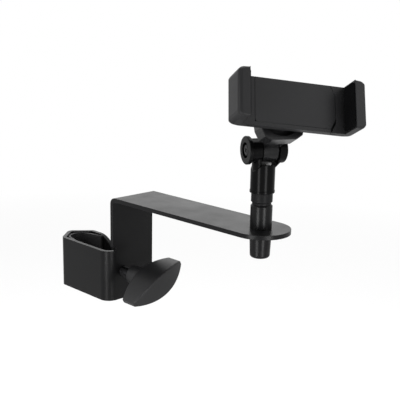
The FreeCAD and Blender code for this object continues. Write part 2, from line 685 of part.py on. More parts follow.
def tongue_outline(left, right, low, high):
    """Panel outline whose right end is cut back at both corners."""
    return [
        (left, low),
        (right - TONGUE_WIDTH, low),
        (right, low + TONGUE_CUT),
        (right, high - TONGUE_CUT),
        (right - TONGUE_WIDTH, high),
        (left, high),
    ]


def screw_places():
    """Places of the panel screws in the two rails."""
    rail = HALF_HEIGHT - PANEL_SCREW_INSET
    left = CHANNEL_LEFT + GUIDE_FROM_END
    right = SHELL_END - TONGUE_WIDTH - GUIDE_FROM_END
    return [(left, -rail), (right, -rail), (left, rail), (right, rail)]


def clip_frame():
    """Fixed jaw and the back shell with the slide channel."""
    shell = rounded_bar(LEFT_FACE, SHELL_END, 0)
    body = jaw(LEFT_FACE - JAW_THICKNESS, LEFT_FACE).fuse(shell).removeSplitter()

    panel_left = LEFT_FACE + PANEL_LEFT - PANEL_SEAM
    panel_low = -HALF_HEIGHT + PANEL_RIM - PANEL_SEAM
    beyond = SHELL_END + SLIDE_GAP
    panel_bed = box((panel_left, beyond), (panel_low, HALF_HEIGHT), (-PANEL, 0))
    rim_end = box((SHELL_END - TONGUE_WIDTH, beyond), (-HALF_HEIGHT, panel_low), (-PANEL, 0))
    channel = box((CHANNEL_LEFT, beyond), (-CHANNEL_HALF, CHANNEL_HALF), (CHANNEL_FLOOR, 0))
    screw_hole = rod(SWIVEL_SCREW_RADIUS + PRESS_GAP, BACK, BACK + SHELL_FLOOR, -CLIP_RIGHT, -CLIP_UP)
    pocket = pad_block(LEFT_FACE, -1, PAD_SINK, PAD_FIT)
    body = body.cut([panel_bed, rim_end, channel, screw_hole, pocket])

    guide = rod(GUIDE_RADIUS, CHANNEL_FLOOR, -PANEL, SHELL_END - GUIDE_FROM_END, 0)
    posts = [
        rod(SPRING_POST, CHANNEL_FLOOR, SLIDE_TOP, SPRING_LEFT - SPRING_HOOK / 2, side * SPRING_OFFSET)
        for side in (1, -1)
    ]
    body = body.fuse([guide] + posts)
    tools = []
    for x, y in screw_places():
        tools.append(rod(PANEL_SCREW_RADIUS + PRESS_GAP, BACK, -PANEL, x, y))
        tools.append(rod(PANEL_SCREW_HEAD + PRESS_GAP, BACK, PANEL_SCREW_SEAT, x, y))
    return placed(body.cut(tools), CLIP_FRAME)


def front_panel():
    """Flat cover of the slide channel with a tongue-shaped end."""
    left = LEFT_FACE + PANEL_LEFT
    outline = tongue_outline(left, SHELL_END, -HALF_HEIGHT + PANEL_RIM, HALF_HEIGHT)
    body = plate(outline, -PANEL, 0)
    corner = edges_where(body, lambda p: near(p.x, left) and near(p.y, -HALF_HEIGHT + PANEL_RIM))
    body = body.makeFillet(PANEL_CORNER, corner)
    for x, y in screw_places():
        body = body.cut(rod(PANEL_SCREW_RADIUS + PRESS_GAP, -PANEL, PANEL_SCREW_BITE - PANEL, x, y))
    return placed(body, CLIP_FRAME)


def clip_slider():
    """Sliding jaw with its foot and the plate that runs in the channel."""
    outer = RIGHT_FACE + JAW_THICKNESS
    body = jaw(outer, RIGHT_FACE)
    foot_left = SHELL_END + SLIDE_GAP
    foot = rounded_bar(foot_left, RIGHT_FACE, 0)
    cheek_left = SHELL_END - TONGUE_WIDTH + SLIDE_GAP
    cheeks = box((cheek_left, RIGHT_FACE), (-HALF_HEIGHT, HALF_HEIGHT), (SLIDE_GAP - PANEL, 0))
    tongue = tongue_outline(cheek_left - TONGUE_WIDTH, foot_left, -HALF_HEIGHT, HALF_HEIGHT)
    cheeks = cheeks.cut(plate(tongue, -PANEL, PANEL))
    slide_left = SHELL_END - SLIDE_ENGAGED
    slide_half = CHANNEL_HALF - SLIDE_GAP
    slide = box((slide_left, RIGHT_FACE), (-slide_half, slide_half), (SLIDE_LOW, SLIDE_TOP))

    guide = SHELL_END - GUIDE_FROM_END
    half_slot = GUIDE_RADIUS + SLIDE_GAP
    guide_slot = box((guide - SLIDE_TRAVEL, guide), (-half_slot, half_slot), (SLIDE_LOW, SLIDE_TOP))
    ends = [rod(half_slot, SLIDE_LOW, SLIDE_TOP, x, 0) for x in (guide - SLIDE_TRAVEL, guide)]
    spring_half = SPRING_RADIUS + SPRING_SLOT_FIT
    slots = [
        box((slide_left, SPRING_RIGHT), (y - spring_half, y + spring_half), (SLIDE_LOW, SLIDE_TOP))
        for y in (SPRING_OFFSET, -SPRING_OFFSET)
    ]
    slide = slide.cut([guide_slot] + ends + slots)
    body = body.fuse([foot, cheeks, slide]).removeSplitter()
    return placed(body.cut(pad_block(RIGHT_FACE, 1, PAD_SINK, PAD_FIT)), CLIP_FRAME)


def spring(side):
    """Extension spring between a post of the shell and the end of the slider's slot."""
    middle = (SLIDE_LOW + SLIDE_TOP) / 2
    low = SPRING_LEFT + SPRING_HOOK
    high = SPRING_RIGHT - FACE_GAP
    coil = placed(
        ring(SPRING_RADIUS, SPRING_RADIUS - SPRING_WALL, low, high),
        Placement(Vector(0, side * SPRING_OFFSET, middle), Rotation(Y_AXIS, 90)),
    )
    post_x = SPRING_LEFT - SPRING_HOOK / 2
    eye_low = middle - SPRING_WALL / 2
    eye_high = eye_low + SPRING_WALL
    eye_bore = SPRING_POST + FACE_GAP
    eye = ring(eye_bore + SPRING_WALL, eye_bore, eye_low, eye_high)
    eye.translate(Vector(post_x, side * SPRING_OFFSET, 0))
    half = SPRING_RADIUS - SPRING_WALL / 4
    width = (side * SPRING_OFFSET - half, side * SPRING_OFFSET + half)
    link = box((post_x + eye_bore + FACE_GAP, low + SPRING_WALL), width, (eye_low, eye_high))
    return placed(coil.fuse([eye, link]).removeSplitter(), CLIP_FRAME)


def panel_screws():
    """Screws from the back shell into the panel."""
    screws = []
    for x, y in screw_places():
        head = rod(PANEL_SCREW_HEAD, PANEL_SCREW_TOP, PANEL_SCREW_SEAT, x, y)
        shank = rod(PANEL_SCREW_RADIUS, PANEL_SCREW_SEAT, PANEL_SCREW_BITE - PANEL, x, y)
        screws.append(placed(head.fuse(shank).removeSplitter(), CLIP_FRAME))
    return Part.makeCompound(screws)


def build():
    """All sub-parts by name."""
    return {
        "bracket": bracket(),
        "clamp_liner": clamp_liner(),
        "weld_nut": weld_nut(),
        "pressure_foot": pressure_foot(),
        "clamp_screw": clamp_screw(),
        "wing_knob": wing_knob(),
        "spigot": spigot(),
        "cap_nut": cap_nut(),
        "thread_insert": thread_insert(),
        "fork_stem": fork_stem(),
        "hinge_screw": hinge_screw(),
        "hinge_nut": hinge_nut(),
        "hinge_washers": hinge_washers(),
        "tilt_head": tilt_head(),
        "swivel_disc": swivel_disc(),
        "swivel_washer": swivel_washer(),
        "swivel_screw": swivel_screw(),
        "clip_frame": clip_frame(),
        "front_panel": front_panel(),
        "clip_slider": clip_slider(),
        "left_pad": pad(LEFT_FACE, 1),
        "right_pad": pad(RIGHT_FACE, -1),
        "upper_spring": spring(1),
        "lower_spring": spring(-1),
        "panel_screws": panel_screws(),
    }


os.makedirs("parts", exist_ok=True)
for name, shape in build().items():
    shape.exportStep("parts/" + name + ".step")
    print(name, "solids", len(shape.Solids), "valid", shape.isValid(), "volume", round(shape.Volume, 1))
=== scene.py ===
"""Looks of a phone holder: finishes, thread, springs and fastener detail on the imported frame."""
import json
import logging
import math
from dataclasses import dataclass
from enum import Enum
from typing import Any, Sequence

import bmesh
import bpy
from mathutils import Matrix, Vector


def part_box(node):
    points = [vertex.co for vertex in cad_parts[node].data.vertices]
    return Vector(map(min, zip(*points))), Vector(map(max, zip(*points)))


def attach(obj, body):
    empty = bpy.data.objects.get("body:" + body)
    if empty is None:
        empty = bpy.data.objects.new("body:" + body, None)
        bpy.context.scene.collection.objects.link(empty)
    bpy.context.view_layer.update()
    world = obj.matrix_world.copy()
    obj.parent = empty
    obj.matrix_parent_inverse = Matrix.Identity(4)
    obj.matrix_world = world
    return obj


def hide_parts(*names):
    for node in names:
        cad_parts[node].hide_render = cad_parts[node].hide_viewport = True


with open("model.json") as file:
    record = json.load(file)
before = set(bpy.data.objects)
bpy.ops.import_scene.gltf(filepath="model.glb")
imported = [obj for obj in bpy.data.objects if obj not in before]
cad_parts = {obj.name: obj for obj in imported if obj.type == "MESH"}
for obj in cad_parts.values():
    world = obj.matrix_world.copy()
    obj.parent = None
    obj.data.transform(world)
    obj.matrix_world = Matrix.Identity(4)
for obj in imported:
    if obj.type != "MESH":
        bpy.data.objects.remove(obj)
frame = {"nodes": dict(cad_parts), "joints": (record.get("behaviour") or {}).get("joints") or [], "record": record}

LOG = logging.getLogger("phone_holder")
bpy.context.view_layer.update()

MM = 0.001
X_AXIS = Vector((1, 0, 0))
Y_AXIS = Vector((0, 1, 0))
WHITE = (1.0, 1.0, 1.0, 1.0)

# Distance at which points join, angle of a sharp edge, and angle up to which faces count as level
WELD = 0.002 * MM
SHARP = math.radians(35)
LEVEL = math.radians(0.1)

# Steps, sides and counts of the shapes
LATHE_SIDES = 48
RIM_STEPS = 6
CORNER_STEPS = 10
JAW_STEPS = 16
EYE_STEPS = 20
COIL_STEPS = 14
THREAD_STEPS = 28
RIDGE_SIDES = 4
WIRE_SIDES = 8
DROP_DETAIL = 2
CROSS_ARMS = 4

# Smallest and largest drop of the weld bead, as shares of its size
DROP_SIZES = (0.75, 1.1)

# Values that all the finishes share
NOISE_MIDDLE = 0.5
NOISE_ROUGHNESS = 0.55
TONE_LAYERS = 2.0
EDGE_SAMPLES = 4
COOL = 1.06

# Numbers of sockets whose names repeat on their node
MIX_DARK = 6
MIX_LIGHT = 7
MIX_COLOUR = 2
RANDOM_LEAST = 2
RANDOM_MOST = 3
RANDOM_NUMBER = 1


class Ray(Enum):
    """Kinds of ray that see the white surroundings."""

    CAMERA = "Is Camera Ray"
    GLOSSY = "Is Glossy Ray"
    TRANSMISSION = "Is Transmission Ray"


class Socket(Enum):
    """Socket types of a tree's inputs."""

    SHAPE = "NodeSocketGeometry"
    LENGTH = "NodeSocketFloat"
    COUNT = "NodeSocketInt"
    PATTERN = "NodeSocketObject"
    MATERIAL = "NodeSocketMaterial"


class Cut(Enum):
    """What a cut keeps."""

    DIFFERENCE = "DIFFERENCE"
    COMMON = "INTERSECT"


class Way(Enum):
    """Direction along an axis."""

    PLUS = 1
    MINUS = -1


class Wire:
    """One output socket that takes part in Python arithmetic."""

    def __init__(self, graph: "Graph", socket: bpy.types.NodeSocket) -> None:
        """Keep the socket and the graph that new nodes go to."""
        self.graph = graph
        self.socket = socket

    def math(self, operation: str, *values: Any) -> "Wire":
        """Add a Math node.

        Args:
            operation: the node's operation.
            values: its inputs in order, as numbers or wires.

        Returns:
            The node's result.
        """
        made = self.graph.node("ShaderNodeMath", {"operation": operation}, dict(enumerate(values)))
        return self.graph.wire(made)

    def __add__(self, other: Any) -> "Wire":
        """Sum."""
        return self.math("ADD", self, other)

    __radd__ = __add__

    def __sub__(self, other: Any) -> "Wire":
        """Difference."""
        return self.math("SUBTRACT", self, other)

    def __rsub__(self, other: Any) -> "Wire":
        """Difference from a number."""
        return self.math("SUBTRACT", other, self)

    def __mul__(self, other: Any) -> "Wire":
        """Product."""
        return self.math("MULTIPLY", self, other)

    __rmul__ = __mul__

    def __truediv__(self, other: Any) -> "Wire":
        """Quotient."""
        return self.math("DIVIDE", self, other)

    def highest(self, other: Any) -> "Wire":
        """Larger of two values."""
        return self.math("MAXIMUM", self, other)

    def lowest(self, other: Any) -> "Wire":
        """Smaller of two values."""
        return self.math("MINIMUM", self, other)


class Graph:
    """A node tree that is filled from Python."""

    def __init__(self, tree: bpy.types.NodeTree) -> None:
        """Start from an empty tree."""
        self.tree = tree
        self.tree.nodes.clear()

    def node(self, kind: str, settings: dict[str, Any], inputs: dict[Any, Any]) -> bpy.types.Node:
        """Add any node.

        Args:
            kind: the node's type.
            settings: properties that are set first.
            inputs: values or wires by socket name or number.

        Returns:
            The new node.
        """
        made = self.tree.nodes.new(kind)
        for name, value in settings.items():
            setattr(made, name, value)
        for key, value in inputs.items():
            if isinstance(value, Wire):
                self.tree.links.new(value.socket, made.inputs[key])
            else:
                made.inputs[key].default_value = value
        return made

    def wire(self, made: bpy.types.Node, output: Any = 0) -> Wire:
        """Output of a node by name or number."""
        return Wire(self, made.outputs[output])

    def value(self, kind: str, settings: dict[str, Any], inputs: dict[Any, Any], output: Any = 0) -> Wire:
        """Output of a new node."""
        return self.wire(self.node(kind, settings, inputs), output)

    def place(self, stretch: Sequence[float] = (1.0, 1.0, 1.0)) -> Wire:
        """Object coordinates in metres, stretched along each axis."""
        point = self.value("ShaderNodeTexCoord", {}, {}, "Object")
        return self.value("ShaderNodeMapping", {}, {"Vector": point, "Scale": tuple(stretch)})

    def noise(self, feature: float, detail: float, place: Wire) -> Wire:
        """Noise from 0 to 1.

        Args:
            feature: size of its features in metres.
            detail: number of finer layers.
            place: the coordinates.

        Returns:
            The noise value.
        """
        inputs = {
            "Vector": place,
            "Scale": 1.0 / feature,
            "Detail": detail,
            "Roughness": NOISE_ROUGHNESS,
        }
        return self.value("ShaderNodeTexNoise", {}, inputs, "Fac")

    def cells(self, feature: float, place: Wire) -> Wire:
        """Distance to the nearest of scattered points, for pits and pimples."""
        inputs = {"Vector": place, "Scale": 1.0 / feature}
        return self.value("ShaderNodeTexVoronoi", {"feature": "F1"}, inputs, "Distance")


@dataclass(frozen=True)
class Finish:
    """Moulded or coated surface with a fine grain and soft edges.

    Attributes:
        name: material name.
        colour: linear base colour.
        roughness: mean roughness.
        grain: size of the grain in metres.
        relief: height of the grain in metres.
        edge: radius that edges are softened by, in metres.
        patch: size of the slow changes of tone in metres.
        metallic: 1 for bare metal.
        gloss: specular level, 0.5 for a common varnish.
        layers: number of finer layers of the grain.
        tones: factors on the colour in its darkest and lightest patches.
        uneven: changes of roughness with the tone and with the grain.
    """

    name: str
    colour: tuple[float, float, float]
    roughness: float
    grain: float
    relief: float
    edge: float = 0.4 * MM
    patch: float = 18 * MM
    metallic: float = 0.0
    gloss: float = 0.3
    layers: float = 3.0
    tones: tuple[float, float] = (0.8, 1.25)
    uneven: tuple[float, float] = (0.16, 0.06)

    def height(self, graph: Graph) -> Wire:
        """Height of the grain, from 0 to 1."""
        return graph.noise(self.grain, self.layers, graph.place())

    def tone(self, graph: Graph) -> Wire:
        """Slow change of tone over the surface, about 0.5."""
        return graph.noise(self.patch, TONE_LAYERS, graph.place())

    def material(self) -> bpy.types.Material:
        """Build the finish, once.

        Returns:
            The material.
        """
        known = bpy.data.materials.get(self.name)
        if known:
            return known
        made = bpy.data.materials.new(self.name)
        made.use_nodes = True
        graph = Graph(made.node_tree)
        tone = self.tone(graph)
        height = self.height(graph)
        dark, light = (
            tuple(min(1.0, factor * part) for part in self.colour) + (1.0,) for factor in self.tones
        )
        mixed = graph.value(
            "ShaderNodeMix",
            {"data_type": "RGBA"},
            {"Factor": tone, MIX_DARK: dark, MIX_LIGHT: light},
            MIX_COLOUR,
        )
        soft = graph.value("ShaderNodeBevel", {"samples": EDGE_SAMPLES}, {"Radius": self.edge})
        bump = graph.value(
            "ShaderNodeBump",
            {},
            {"Strength": 1.0, "Distance": self.relief, "Height": height, "Normal": soft},
        )
        by_tone, by_grain = self.uneven
        change = by_tone * (tone - NOISE_MIDDLE)
        fine_change = by_grain * (height - NOISE_MIDDLE)
        shader = graph.node(
            "ShaderNodeBsdfPrincipled",
            {},
            {
                "Base Color": mixed,
                "Roughness": self.roughness + change + fine_change,
                "Metallic": self.metallic,
                "Specular IOR Level": self.gloss,
                "Normal": bump,
            },
        )
        graph.node("ShaderNodeOutputMaterial", {}, {"Surface": graph.wire(shader)})
        return made


@dataclass(frozen=True)
class Stipple(Finish):
    """Surface covered in small raised dots.

    Attributes:
        layers: number of finer layers of the grain between the dots.
        between: height of that grain, as a share of the dots' height.
        finer: how much finer that grain is than the dots.
    """

    layers: float = 2.0
    between: float = 0.15
    finer: float = 4.0

    def height(self, graph: Graph) -> Wire:
        """Height of rounded dots on a fine grain.

        Args:
            graph: the finish's graph.

        Returns:
            The height, about 0 to 1.
        """
        place = graph.place()
        dots = 1.0 - graph.cells(self.grain, place)
        grain = graph.noise(self.grain / self.finer, self.layers, place)
        return dots + self.between * grain


@dataclass(frozen=True)
class Turned(Finish):
    """Turned or drawn metal with fine lines along one axis.

    Attributes:
        layers: number of finer layers of the lines.
        stretch: factors on the coordinates that draw the lines out.
    """

    layers: float = 4.0
    stretch: tuple[float, float, float] = (1.0, 1.0, 8.0)

    def height(self, graph: Graph) -> Wire:
        """Fine drawn-out lines."""
        return graph.noise(self.grain, self.layers, graph.place(self.stretch))


def black(level: float) -> tuple[float, float, float]:
    """Black of a linear level, a touch cool."""
    return level, level, COOL * level


POWDER_COAT = Finish("satin_powder_coat", black(0.004), 0.34, 0.55 * MM, 0.012 * MM, 0.5 * MM, gloss=0.1)
BLACK_METAL = Finish("satin_black_metal", black(0.004), 0.3, 0.4 * MM, 0.006 * MM, gloss=0.1)
LINER = Finish("grained_liner", black(0.012), 0.5, 0.3 * MM, 0.008 * MM, 0.3 * MM)
KNOB = Finish("grained_knob", black(0.009), 0.42, 0.25 * MM, 0.010 * MM, 0.9 * MM, gloss=0.2)
FOOT = Finish("grained_foot", black(0.014), 0.5, 0.3 * MM, 0.008 * MM)
COLLAR = Stipple("stippled_collar", black(0.006), 0.42, 0.45 * MM, 0.06 * MM, 0.3 * MM, gloss=0.06)
STEM = Finish("gloss_stem", black(0.002), 0.22, 0.5 * MM, 0.002 * MM, 0.4 * MM, gloss=0.045)
HEAD = Finish("satin_head", black(0.006), 0.24, 0.4 * MM, 0.004 * MM, 0.4 * MM, gloss=0.14)
CLIP = Finish("grained_clip", black(0.009), 0.46, 0.22 * MM, 0.010 * MM, 0.5 * MM, gloss=0.12)
# Black rubber pads on the jaws' gripping faces. Their colour is set darker than the clip's to stand in for the
# shade on the right jaw's inner face, so it is partly painted shade.
RUBBER_WITH_PAINTED_SHADE = Finish("matt_rubber_painted_shade", black(0.004), 0.85, 0.35 * MM, 0.012 * MM, 0.3 * MM, gloss=0.0)
WASHER = Finish("friction_washer", black(0.010), 0.5, 0.3 * MM, 0.004 * MM, 0.2 * MM)
DARK_STEEL = Turned("black_zinc_steel", black(0.02), 0.34, 0.3 * MM, 0.004 * MM, 0.2 * MM, metallic=1.0)
THREAD = Turned("rolled_thread", black(0.015), 0.24, 0.3 * MM, 0.003 * MM, 0.1 * MM, metallic=1.0)
SCREW = Turned("black_oxide_steel", black(0.006), 0.3, 0.25 * MM, 0.003 * MM, 0.2 * MM, gloss=0.08)
SPRING = Turned("drawn_spring_steel", black(0.45), 0.28, 0.2 * MM, 0.002 * MM, 0.1 * MM, metallic=1.0)


def dress(node: str, finish: Finish) -> None:
    """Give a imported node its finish.

    Args:
        node: the node's name.
        finish: the finish for all its faces.
    """
    mesh = frame["nodes"][node].data
    mesh.materials.clear()
    mesh.materials.append(finish.material())
    LOG.info("%s wears %s", node, finish.name)


def joint(name: str) -> dict[str, Any]:
    """Record of one joint by name."""
    return next(entry for entry in frame["joints"] if entry["name"] == name)


def mount(name: str) -> dict[str, Any]:
    """Record of one mount by name."""
    return next(entry for entry in frame["record"]["mounts"] if entry["name"] == name)


def axes(origin: Vector, first: Vector, third: Vector) -> Matrix:
    """Frame from an origin and two of its axes.

    Args:
        origin: the frame's origin.
        first: its X axis.
        third: its Z axis.

    Returns:
        The matrix from that frame to the row.
    """
    second = third.cross(first)
    turn = Matrix((first, second, third)).transposed().to_4x4()
    return Matrix.Translation(origin) @ turn


def on_joint(name: str, along: float, facing: Way) -> Matrix:
    """Frame on a joint's axis.

    Args:
        name: the joint's name.
        along: distance of the frame from the joint's place, along the axis.
        facing: direction of the frame's Z axis along the joint's.

    Returns:
        The matrix from that frame to the row.
    """
    entry = joint(name)
    axis = Vector(entry["axis"])
    origin = Vector(entry["pos_m"]) + axis * along
    return axes(origin, axis.orthogonal().normalized(), facing.value * axis)


def in_scene(name: str, data: bpy.types.ID) -> bpy.types.Object:
    """New object in the scene.

    Args:
        name: the object's name.
        data: its mesh, lamp or camera.

    Returns:
        The object.
    """
    made = bpy.data.objects.new(name, data)
    bpy.context.scene.collection.objects.link(made)
    return made


def applied(carrier: bpy.types.Object) -> bpy.types.Mesh:
    """Plain mesh of an object with its modifiers, which is then removed.

    Args:
        carrier: the object.

    Returns:
        The mesh.
    """
    ready = carrier.evaluated_get(bpy.context.evaluated_depsgraph_get())
    mesh = bpy.data.meshes.new_from_object(ready)
    carrier.modifiers.clear()
    bpy.data.objects.remove(carrier)
    return mesh


def piece(
    name: str,
    mesh: bpy.types.Mesh,
    place: Matrix,
    body: str,
    finish: Finish,
    stands_for: str = "",
) -> bpy.types.Object:
    """Finish a mesh as a piece that rides on a body.

    Args:
        name: the piece's name.
        mesh: its mesh, in its own frame.
        place: that frame in the row.
        body: the body that carries it.
        finish: its finish.
        stands_for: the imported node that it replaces, if any.

    Returns:
        The new object.
    """
    mesh.transform(place)
    mesh.name = name
    mesh.materials.clear()
    mesh.materials.append(finish.material())
    mesh.shade_smooth()
    mesh.set_sharp_from_angle(angle=SHARP)
    made = in_scene(name, mesh)
    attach(made, body)
    if stands_for:
        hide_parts(stands_for)
    LOG.info("%s: %d faces on %s", name, len(mesh.polygons), body)
    return made


def grown(
    tree: bpy.types.NodeTree, values: dict[str, Any], base: bpy.types.Mesh | None = None
) -> bpy.types.Mesh:
    """Plain mesh that a Geometry Nodes tree makes.

    Args:
        tree: the tree.
        values: its inputs by name.
        base: mesh that the tree starts from, if it takes one.

    Returns:
        The mesh.
    """
    carrier = in_scene("carrier", base or bpy.data.meshes.new("carrier"))
    modifier = carrier.modifiers.new("grow", "NODES")
    modifier.node_group = tree
    for item in tree.interface.items_tree:
        if item.item_type == "SOCKET" and item.in_out == "INPUT" and item.name in values:
            modifier[item.identifier] = values[item.name]
    return applied(carrier)


def new_tree(name: str, inputs: dict[str, Socket]) -> tuple[Graph, dict[str, Wire]]:
    """Start a Geometry Nodes tree.

    Args:
        name: the tree's name.
        inputs: its inputs by name.

    Returns:
        The graph and its inputs as wires.
    """
    tree = bpy.data.node_groups.new(name, "GeometryNodeTree")
    graph = Graph(tree)
    for label, kind in inputs.items():
        tree.interface.new_socket(label, in_out="INPUT", socket_type=kind.value)
    tree.interface.new_socket("Mesh", in_out="OUTPUT", socket_type=Socket.SHAPE.value)
    source = graph.node("NodeGroupInput", {}, {})
    return graph, {label: graph.wire(source, label) for label in inputs}


def close_tree(graph: Graph, shape: Wire, material: Wire) -> bpy.types.NodeTree:
    """End a tree in Realize Instances and Set Material.

    Args:
        graph: the tree's graph.
        shape: the geometry so far.
        material: the material input.

    Returns:
        The finished tree.
    """
    whole = graph.value("GeometryNodeRealizeInstances", {}, {"Geometry": shape})
    coloured = graph.value("GeometryNodeSetMaterial", {}, {"Geometry": whole, "Material": material})
    graph.node("NodeGroupOutput", {}, {0: coloured})
    return graph.tree


def swept(graph: Graph, path: Wire, sides: int, radius: Wire) -> Wire:
    """Bar along a curve, with closed ends.

    Args:
        graph: the tree's graph.
        path: the curve.
        sides: number of sides of the bar.
        radius: radius through its corners.

    Returns:
        The bar.
    """
    section = graph.value(
        "GeometryNodeCurvePrimitiveCircle", {}, {"Resolution": sides, "Radius": radius}
    )
    inputs = {"Curve": path, "Profile Curve": section, "Fill Caps": True}
    return graph.value("GeometryNodeCurveToMesh", {}, inputs)


def thread_tree() -> bpy.types.NodeTree:
    """Tree that winds a thread ridge round the Z axis.

    Returns:
        The tree, with inputs Radius, Pitch, Length, Ridge and Material.
    """
    graph, given = new_tree(
        "thread",
        {
            "Radius": Socket.LENGTH,
            "Pitch": Socket.LENGTH,
            "Length": Socket.LENGTH,
            "Ridge": Socket.LENGTH,
            "Material": Socket.MATERIAL,
        },
    )
    path = graph.value(
        "GeometryNodeCurveSpiral",
        {},
        {
            "Resolution": THREAD_STEPS,
            "Rotations": given["Length"] / given["Pitch"],
            "Start Radius": given["Radius"],
            "End Radius": given["Radius"],
            "Height": given["Length"],
            "Reverse": True,
        },
    )
    level = graph.value("GeometryNodeSetCurveNormal", {"mode": "Z_UP"}, {"Curve": path})
    ridge = swept(graph, level, RIDGE_SIDES, given["Ridge"])
    return close_tree(graph, ridge, given["Material"])


def wire_tree() -> bpy.types.NodeTree:
    """Tree that draws a round wire along a chain of edges.

    Returns:
        The tree, with inputs Path, Wire and Material.
    """
    graph, given = new_tree(
        "bent_wire", {"Path": Socket.SHAPE, "Wire": Socket.LENGTH, "Material": Socket.MATERIAL}
    )
    path = graph.value("GeometryNodeMeshToCurve", {}, {"Mesh": given["Path"]})
    bent = swept(graph, path, WIRE_SIDES, given["Wire"])
    return close_tree(graph, bent, given["Material"])


def bead_tree() -> bpy.types.NodeTree:
    """Tree that lays overlapping drops round the Z axis, as a weld bead does.

    Returns:
        The tree, with inputs Radius, Drops, Drop, Seed and Material.
    """
    graph, given = new_tree(
        "weld_bead",
        {
            "Radius": Socket.LENGTH,
            "Drops": Socket.COUNT,
            "Drop": Socket.LENGTH,
            "Seed": Socket.COUNT,
            "Material": Socket.MATERIAL,
        },
    )
    path = graph.value(
        "GeometryNodeCurvePrimitiveCircle", {}, {"Resolution": given["Drops"], "Radius": given["Radius"]}
    )
    drop = graph.value(
        "GeometryNodeMeshIcoSphere", {}, {"Radius": given["Drop"], "Subdivisions": DROP_DETAIL}
    )
    least, most = DROP_SIZES
    size = graph.value(
        "FunctionNodeRandomValue",
        {"data_type": "FLOAT"},
        {RANDOM_LEAST: least, RANDOM_MOST: most, "Seed": given["Seed"]},
        RANDOM_NUMBER,
    )
    points = graph.value("GeometryNodeCurveToPoints", {"mode": "EVALUATED"}, {"Curve": path})
    laid = graph.value(
        "GeometryNodeInstanceOnPoints", {}, {"Points": points, "Instance": drop, "Scale": size}
    )
    return close_tree(graph, laid, given["Material"])


def fastener_tree() -> bpy.types.NodeTree:
    """Tree that sets one fastener at each point of a mesh, its head towards -Z.

    Returns:
        The tree, with inputs Places, Fastener and Material.
    """
    graph, given = new_tree(
        "fastener_set", {"Places": Socket.SHAPE, "Fastener": Socket.PATTERN, "Material": Socket.MATERIAL}
    )
    pattern = graph.value("GeometryNodeObjectInfo", {}, {"Object": given["Fastener"]}, "Geometry")
    laid = graph.value(
        "GeometryNodeInstanceOnPoints",
        {},
        {"Points": given["Places"], "Instance": pattern, "Rotation": (math.pi, 0.0, 0.0)},
    )
    return close_tree(graph, laid, given["Material"])


def loft(rings: Sequence[Sequence[tuple[float, float, float]]]) -> bmesh.types.BMesh:
    """Closed solid through rings of equally many points.

    Args:
        rings: the points of each ring in order.

    Returns:
        The solid.
    """
    solid = bmesh.new()
    made = [[solid.verts.new(point) for point in ring] for ring in rings]
    for first, second in zip(made, made[1:]):
        count = len(first)
        for step in range(count):
            after = (step + 1) % count
            solid.faces.new((first[step], second[step], second[after], first[after]))
    solid.faces.new(made[0])
    solid.faces.new(list(reversed(made[-1])))
    bmesh.ops.recalc_face_normals(solid, faces=solid.faces)
    return solid


def lathe(profile: Sequence[tuple[float, float]], segments: int = LATHE_SIDES) -> bmesh.types.BMesh:
    """Solid of revolution about Z, closed at both ends.

    Args:
        profile: radius and height along the outside, from the top down.
        segments: number of sides.

    Returns:
        The solid.
    """
    rings = []
    for radius, height in profile:
        turns = [2 * math.pi * step / segments for step in range(segments)]
        rings.append([(radius * math.cos(turn), radius * math.sin(turn), height) for turn in turns])
    return loft(rings)


def as_mesh(name: str, solid: bmesh.types.BMesh) -> bpy.types.Mesh:
    """Mesh of a solid, which is freed.

    Args:
        name: the mesh's name.
        solid: the solid.

    Returns:
        The mesh.
    """
    mesh = bpy.data.meshes.new(name)
    solid.to_mesh(mesh)
    solid.free()
    return mesh


def carved(mesh: bpy.types.Mesh, tool: bpy.types.Mesh, cut: Cut) -> bpy.types.Mesh:
    """Mesh cut by another.

    Args:
        mesh: the closed mesh that is cut.
        tool: the closed mesh that cuts it.
        cut: what is kept.

    Returns:
        The new mesh.
    """
    body = in_scene("body", mesh)
    cutter = in_scene("cutter", tool)
    modifier = body.modifiers.new("cut", "BOOLEAN")
    modifier.operation = cut.value
    modifier.object = cutter
    result = applied(body)
    bpy.data.objects.remove(cutter)
    return result


def welded(mesh: bpy.types.Mesh) -> bpy.types.Mesh:
    """Join a mesh's coinciding points and level faces, and drop its packed shading normals.

    Args:
        mesh: the mesh, which is changed.

    Returns:
        The same mesh.
    """
    stored = mesh.attributes.get("custom_normal")
    if stored:
        mesh.attributes.remove(stored)
    solid = bmesh.new()
    solid.from_mesh(mesh)
    bmesh.ops.remove_doubles(solid, verts=solid.verts, dist=WELD)
    bmesh.ops.dissolve_degenerate(solid, edges=solid.edges, dist=WELD)
    bmesh.ops.dissolve_limit(solid, angle_limit=LEVEL, verts=solid.verts, edges=solid.edges)
    solid.to_mesh(mesh)
    solid.free()
    return mesh


